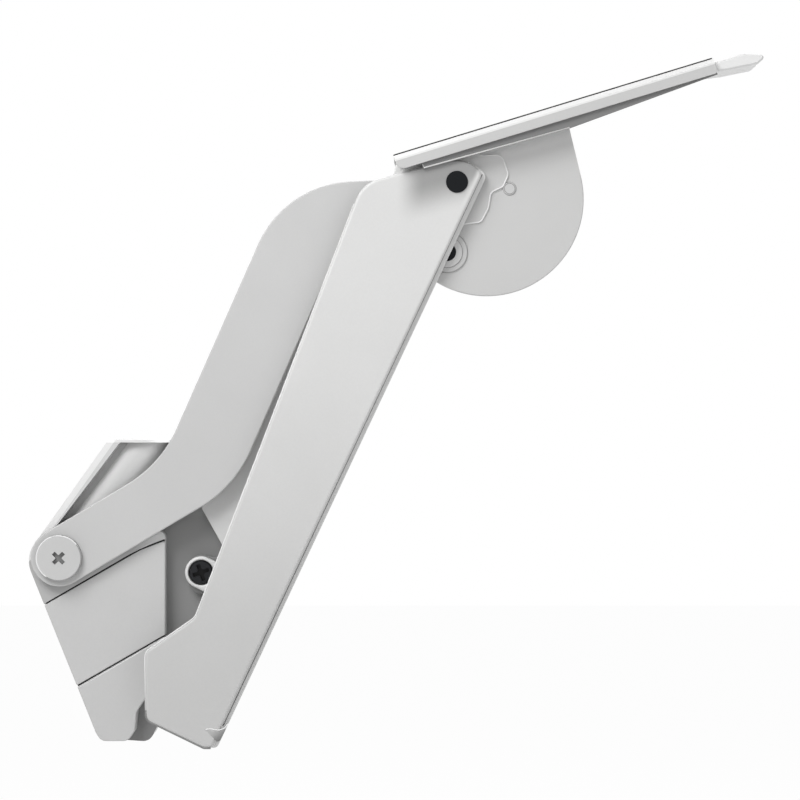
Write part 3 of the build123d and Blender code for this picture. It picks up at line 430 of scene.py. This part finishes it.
def plate(name, outline, holes, back, front, bevel, finish, body, replaced=()):
    """A flat plate with holes, cut to a front-view outline, with a rounded front edge."""
    count = len(outline)
    area = sum(outline[i - 1][0] * outline[i][1] - outline[i][0] * outline[i - 1][1]
               for i in range(count))
    side = 1 if area > 0 else -1
    inward = []
    for i in range(count):
        before, after = Vector(outline[i - 1]), Vector(outline[(i + 1) % count])
        along = (after - before).normalized()
        inward.append(Vector((-along[1], along[0])) * side)
    rings = [(back, 0.0)] + rounded_front(front, bevel, 5)
    verts, faces = [], []

    def add(loop, depth):
        start = len(verts)
        verts.extend((q[0] * MM, -depth * MM, q[1] * MM) for q in loop)
        return start

    def shrunk(inset):
        return [Vector(q) + n * inset for q, n in zip(outline, inward)]

    starts = [add(shrunk(inset), depth) for depth, inset in rings]
    for a, b in zip(starts, starts[1:]):
        stitch(faces, a, b, count)
    for hole in holes:
        a, b = add(hole, back), add(hole, front)
        stitch(faces, a, b, len(hole))
    rounded_faces = len(faces)
    for depth, inset in (rings[0], rings[-1]):
        loops = [shrunk(inset)] + holes
        start = len(verts)
        for loop in loops:
            add(loop, depth)
        for t in tessellate_polygon([[Vector((q[0], q[1], 0)) for q in loop] for loop in loops]):
            faces.append(tuple(start + i for i in t))
    o = piece(name, verts, faces, finish, body)
    for face in o.data.polygons[rounded_faces:]:
        face.use_smooth = False
    if replaced:
        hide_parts(*replaced)
    return o


def placed(at, tilt, along, aside):
    """A front-view point given along and left of a direction."""
    c, s = cos(radians(tilt)), sin(radians(tilt))
    return (at[0] + along * c - aside * s, at[1] + along * s + aside * c)


LINK_PIVOT = (-52.6, 5.9)
GUIDE_PIN = (92.5, 120.2)
RIVET = (115.9, 143.9)

# The rim of the link's bolt: a painted highlight above and painted shade below
BOLT_RIM_R, BOLT_FACE = 8.3, 29.02
for name, start, end, wide, finish in (("bolt_rim_top", 38, 98, 0.24, PAINTED_HIGHLIGHT),
                                       ("bolt_rim_left", 108, 236, 0.24, PAINTED_HIGHLIGHT),
                                       ("bolt_rim_low", 238, 396, 0.15, EDGE_SHADE)):
    sweep(name, circle(LINK_PIVOT, BOLT_RIM_R, start, end), BOLT_FACE, wide, 0.16, finish,
          "housing")

# A painted highlight along the latch plate's edge, and painted shade on the rings of the rivet and
# of the guide pin's washers
LATCH = [(100.0, 157.6), (106.2, 156.2), (113.0, 156.6), (115.4, 149.2), (113.4, 144.6),
         (108.9, 142.6), (107.9, 136.6), (105.2, 131.4), (98.0, 130.6), (87.0, 135.0),
         (85.0, 150.0)]
LATCH_R = [1.0, 3.0, 3.2, 3.0, 1.6, 2.4, 3.0, 2.4, 4.0, 5.0, 3.0]
for name, line, depth, wide, high, finish in (
        ("latch_edge", rounded(LATCH, LATCH_R), 30.16, 0.28, 0.14, PAINTED_HIGHLIGHT),
        ("rivet_ring", circle(RIVET, 1.95), 30.06, 0.14, 0.12, EDGE_SHADE),
        ("rivet_edge", circle(RIVET, 2.42), 29.62, 0.13, 0.12, EDGE_SHADE),
        ("washer_edge", circle(GUIDE_PIN, 7.6), 30.02, 0.14, 0.10, EDGE_SHADE),
        ("washer_step", circle(GUIDE_PIN, 5.75), 30.3, 0.14, 0.12, EDGE_SHADE)):
    sweep(name, line, depth, wide, high, finish, "bracket", closed=True)


def on_bracket(along, below):
    """A front-view point along the bracket's upper face and below it."""
    c, s = cos(TILT), sin(TILT)
    return (BRACKET_CORNER[0] + along * c + below * s, BRACKET_CORNER[1] + along * s - below * c)


# The bracket's thin dark top line, and a painted highlight in pale grey along the lower lip of its
# near flange
sweep("strip_line", [on_bracket(0.0, 3.3), on_bracket(0.05, 0.32), on_bracket(123.0, 0.32)],
      depth=37.72, half_width=0.22, height=0.20, finish=SEAM, body="bracket")
sweep("flange_lip", [on_bracket(9.5, 6.5), on_bracket(9.6, 7.95), on_bracket(65.4, 9.45)],
      depth=37.42, half_width=0.28, height=0.22, finish=LEVER, body="bracket")

# Link: bent, with the slot for the guide pin and the hole for its hub
LINK_R = 10.8  # Of the end round the pivot
TIP_R = 7.2  # Of the hidden end round the slot
HUB_HOLE_R = 5.22
SLOT_R = 4.2
FIRST_RUN = 30.7  # Degrees, from the pivot to the bend
CHORD = 38.23  # Degrees, from the pivot along the slot
PIN_PLACE, SLOT_END = 184.71, 205.16  # Along the chord
NEARLY_ROUND = 0.99  # Of a full end radius, so that its two corners don't meet


def on_chord(along, aside):
    """A front-view point along the link's chord and left of it."""
    return placed(LINK_PIVOT, CHORD, along, aside)


LINK_LINE = [placed(LINK_PIVOT, FIRST_RUN, -LINK_R, LINK_R),
             placed(LINK_PIVOT, FIRST_RUN, -LINK_R, -LINK_R),
             (13.2, 32.5), (51.0, 119.0), on_chord(179.0, -TIP_R),
             on_chord(SLOT_END + TIP_R, -TIP_R), on_chord(SLOT_END + TIP_R, TIP_R),
             on_chord(197.0, TIP_R), (83.0, 140.6), (70.0, 147.6), (31.6, 145.6), (-14.6, 41.0)]
LINK_RADII = [LINK_R * NEARLY_ROUND, LINK_R * NEARLY_ROUND, 46, 20, 8, 7, 7, 6, 8, 8, 39.5, 47]
SLOT_CORNERS = [on_chord(PIN_PLACE - SLOT_R, -SLOT_R), on_chord(SLOT_END + SLOT_R, -SLOT_R),
                on_chord(SLOT_END + SLOT_R, SLOT_R), on_chord(PIN_PLACE - SLOT_R, SLOT_R)]
plate("link_plate", rounded(LINK_LINE, LINK_RADII, steps=14),
      [circle(LINK_PIVOT, HUB_HOLE_R, count=48),
       rounded(SLOT_CORNERS, [SLOT_R * NEARLY_ROUND] * 4)],
      back=24.0, front=27.0, bevel=0.5, finish=LINK, body="link", replaced=["guide_link"])

# Arm: the tray's flat lip and the moulded cover on it, with full rounded edges
ARM = [(60.9, 145.2), (-1.0, -15.6), (-19.6, -28.4), (-19.4, -53.8), (2.84, -64.4), (6.95, -64.4),
       (107.5, 148.8), (98.2, 155.8)]
ARM_R = [12.0, 6.0, 4.0, 3.4, 4.0, 2.0, 3.0, 14.0]
COVER_SIDE = [(1.9, -64.0), (5.3, -64.0), COVER_TIP]
COVER_OUTLINE = ARM[:4] + COVER_SIDE + [ARM[7]]
LIP_FRONT = 32.8
plate("arm_lip", rounded(ARM, ARM_R), [], back=31.2, front=LIP_FRONT, bevel=0.35, finish=TRAY,
      body="arm", replaced=["arm_tray"])
plate("arm_shell", rounded(COVER_OUTLINE, ARM_R), [], back=LIP_FRONT, front=36.0, bevel=1.1,
      finish=COVER, body="arm", replaced=["arm_cover"])

# A painted highlight along the cover's upper edge, painted shade along its lower edge, and painted
# shade in the groove beside the tray's lip
lit = rounded([(-19.3, -50.2), ARM[2], ARM[1], (58.0, 137.7)], [0, 4, 6, 0], closed=False)
sweep("cover_high_edge", lit, depth=35.35, half_width=0.27, height=0.35, finish=PAINTED_HIGHLIGHT,
      body="arm")
shaded = rounded([(-19.15, -50.0), (-19.1, -53.6), (2.3, -63.98), (4.8, -63.98)],
                 [0, 3.2, 1.5, 0], closed=False)
sweep("cover_low_edge", shaded, depth=35.55, half_width=0.42, height=0.45, finish=SHADED,
      body="arm")
sweep("cover_groove", [(9.27, -56.1), (105.6, 148.9)], depth=32.9, half_width=0.16,
      height=0.14, finish=EDGE_SHADE, body="arm")


def lug(name, length, tilt, outer_r, bore_r, back, front, edge, finish, body, columns=96):
    """A rounded lug round a bore at the origin: a disc stretched by length along tilt degrees."""
    reach = []
    trials = 40
    for i in range(columns):
        turn = 2 * pi * i / columns - radians(tilt)
        best = outer_r
        for k in range(trials + 1):
            t = length * k / trials
            side = t * sin(turn)
            if abs(side) < outer_r:
                best = max(best, t * cos(turn) + (outer_r ** 2 - side ** 2) ** 0.5)
        reach.append(best)
    rings = [(depth, [r - inset for r in reach])
             for depth, inset in [(back, 0.0)] + rounded_front(front, edge, 5)]
    rings += [(depth, [r] * columns)
              for depth, r in ((front, bore_r + 0.35), (front - 0.3, bore_r), (back, bore_r))]
    verts, faces = [], []
    for depth, radii in rings:
        for i, r in enumerate(radii):
            a = 2 * pi * i / columns
            verts.append((r * cos(a) * MM, -depth * MM, r * sin(a) * MM))
    for row in range(len(rings)):
        stitch(faces, row * columns, (row + 1) % len(rings) * columns, columns)
    return piece(name, verts, faces, finish, body)


pivot_lug = lug("pivot_lug", length=5.6, tilt=-25.5, outer_r=6.05, bore_r=4.8, back=20.5,
                front=22.6, edge=0.8, finish=LUG, body="arm")
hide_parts("pivot_collar")


def pad(name, outline, back, front, edge, finish, body):
    """A thin pad with rounded edges, from a closed outline in the front view."""
    count = len(outline)
    centre = (sum(p[0] for p in outline) / count, sum(p[1] for p in outline) / count)
    verts, faces = [], []
    rings = [(back, 0.0)] + rounded_front(front, edge, 4)
    for depth, inset in rings:
        for x, z in outline:
            away = ((x - centre[0]) ** 2 + (z - centre[1]) ** 2) ** 0.5
            share = 1 - inset / max(away, 0.5)
            verts.append(((centre[0] + (x - centre[0]) * share) * MM, -depth * MM,
                          (centre[1] + (z - centre[1]) * share) * MM))
    for row in range(len(rings) - 1):
        stitch(faces, row * count, (row + 1) * count, count)
    verts.append((centre[0] * MM, -front * MM, centre[1] * MM))
    verts.append((centre[0] * MM, -back * MM, centre[1] * MM))
    tip = len(verts) - 2
    last = (len(rings) - 1) * count
    for i in range(count):
        j = (i + 1) % count
        faces += [(last + i, last + j, tip), (j, i, tip + 1)]
    return piece(name, verts, faces, finish, body)


# The thumb notch at the cover's lower corner: a pale scoop with painted shade that darkens towards
# its lower end, and a painted highlight along its top edge
NOTCH_TOP = [(2.9, -57.1), (4.6, -56.8), (8.0, -57.3), (10.2, -56.5), (11.3, -54.9)]
NOTCH_LOW = [(10.1, -57.7), (8.3, -61.3), (7.0, -61.6), (6.1, -60.5), (4.3, -58.8)]
NOTCH_FRONT = 36.06
notch = rounded(NOTCH_TOP + NOTCH_LOW, [0.2, 3, 3, 2, 0.2, 2, 0.8, 0.6, 2, 2], steps=5)
pad("thumb_notch", notch, back=35.4, front=NOTCH_FRONT, edge=0.2, finish=NOTCH, body="arm")
sweep("notch_top_edge", rounded(NOTCH_TOP, [0, 3, 3, 2, 0], closed=False), depth=NOTCH_FRONT,
      half_width=0.22, height=0.14, finish=PAINTED_HIGHLIGHT, body="arm")

# A fillet in the crevice between the housing's slanted wall and the spring's barrel, in a grey
# darker than the shell's: painted shade
plate("pocket_fillet", [(-61.4, 8.6), (-53.0, 8.6), (-27.0, 48.7), (-33.0, 48.7)], [],
      back=18.6, front=18.9, bevel=0.1, finish=CREVICE_SHADE, body="housing")

# Dark joints between the housing's cover, its block and the foot, and a painted highlight along the
# foot's top edge
upper = rounded([(-58.2, -11.45), (-22.8, 9.05), (-13.6, 12.5)], [0, 85.0, 0], closed=False,
                steps=16)
sweep("seam_upper", upper, depth=22.8, half_width=0.55, height=0.46, finish=SEAM, body="housing")
sweep("seam_lower", [(-46.2, -42.5), (-13.6, -23.65)], depth=22.7, half_width=0.34,
      height=0.53, finish=SEAM, body="housing")
sweep("foot_top_edge", [(-46.0, -43.3), (-13.8, -24.6)], depth=23.1, half_width=0.16,
      height=0.16, finish=PAINTED_HIGHLIGHT, body="housing")
